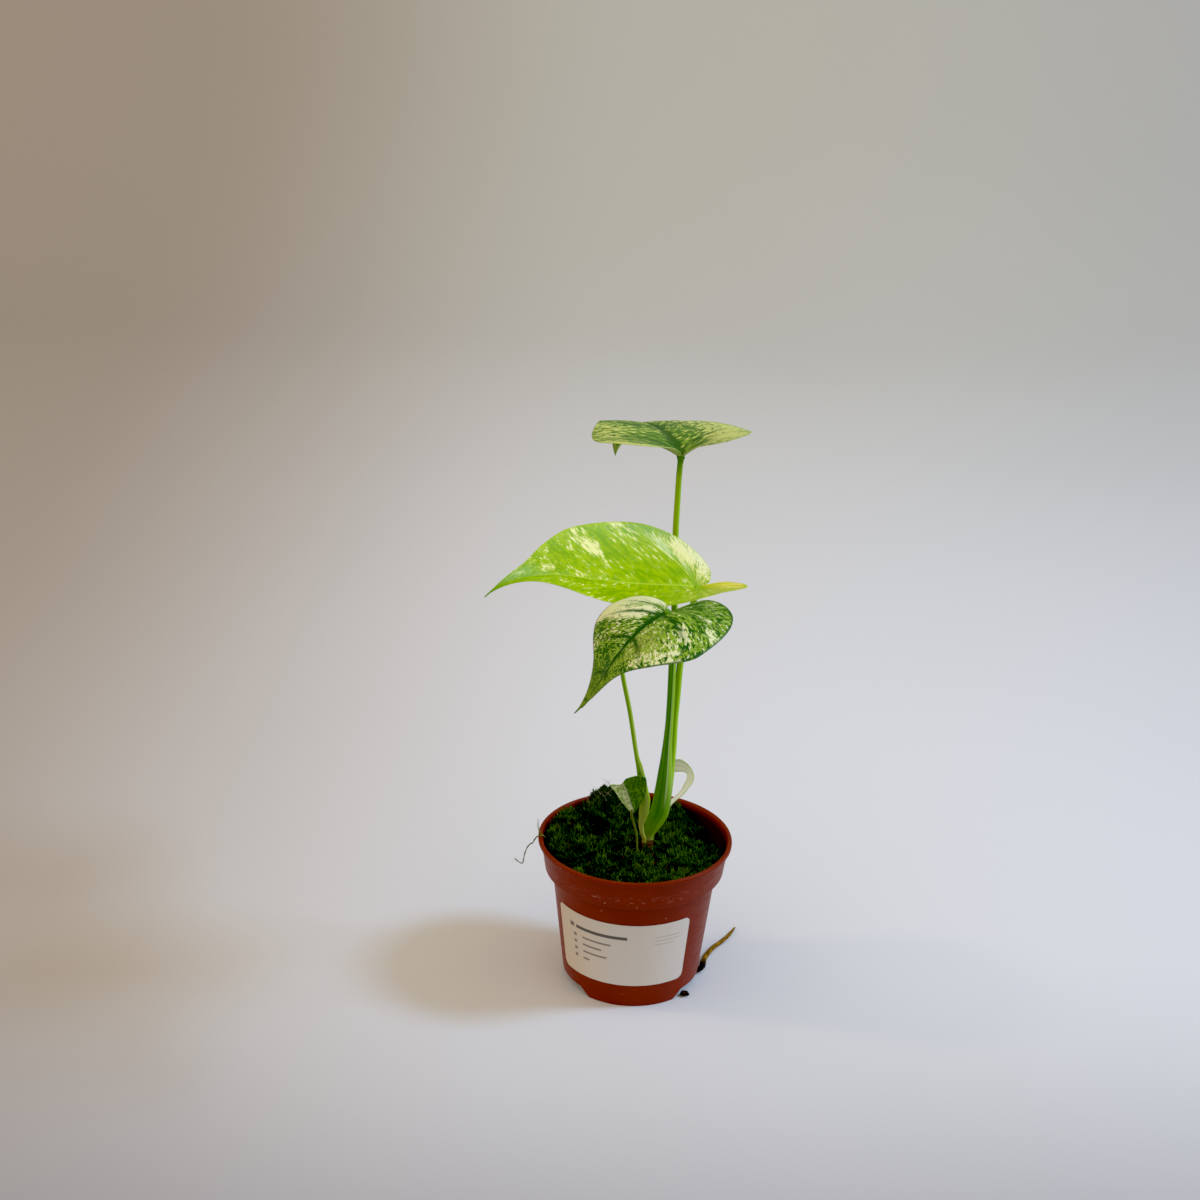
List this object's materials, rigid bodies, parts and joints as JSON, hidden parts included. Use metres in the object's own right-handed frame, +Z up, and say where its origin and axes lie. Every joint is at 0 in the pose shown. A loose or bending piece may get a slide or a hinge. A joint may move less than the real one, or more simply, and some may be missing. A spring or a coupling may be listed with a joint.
{
  "type": "potted mint monstera",
  "caption": "Young variegated monstera on slender stalks in a plastic nursery pot with a deep collar, a moss carpet, a bare label and a root grown out of a drain notch.",
  "frame": {"origin": "centre of the pot's flat underside, where it stands on the ground", "axes": "+Z up the pot's axis, -Y towards the labelled front, +X to the right seen from the front"},
  "size_m": [0.1204, 0.2066, 0.2636],
  "materials": {
    "pot_plastic": "satin",
    "label_paper": "matte",
    "potting_mix": "matte",
    "moss": "matte",
    "dry_moss": "matte",
    "root_bark": "matte",
    "leaf_sage": "satin",
    "leaf_lime": "satin",
    "leaf_mint": "satin",
    "stalk_dark": "satin",
    "stalk_light": "satin",
    "bract_green": "satin",
    "bract_papery": "matte"
  },
  "bodies": {
    "root": {"pot": "pot_plastic", "label": "label_paper", "potting_mix": "potting_mix", "moss": "moss", "moss_strand": "dry_moss", "rootstock": "root_bark", "crumb": "potting_mix", "blade_top": "leaf_sage", "blade_middle": "leaf_lime", "blade_lower": "leaf_mint", "petiole_top": "stalk_dark", "petiole_middle": "stalk_light", "petiole_lower": "stalk_light", "bract_folded": "bract_green", "bract_curled": "bract_papery"}
  },
  "joints": []
}
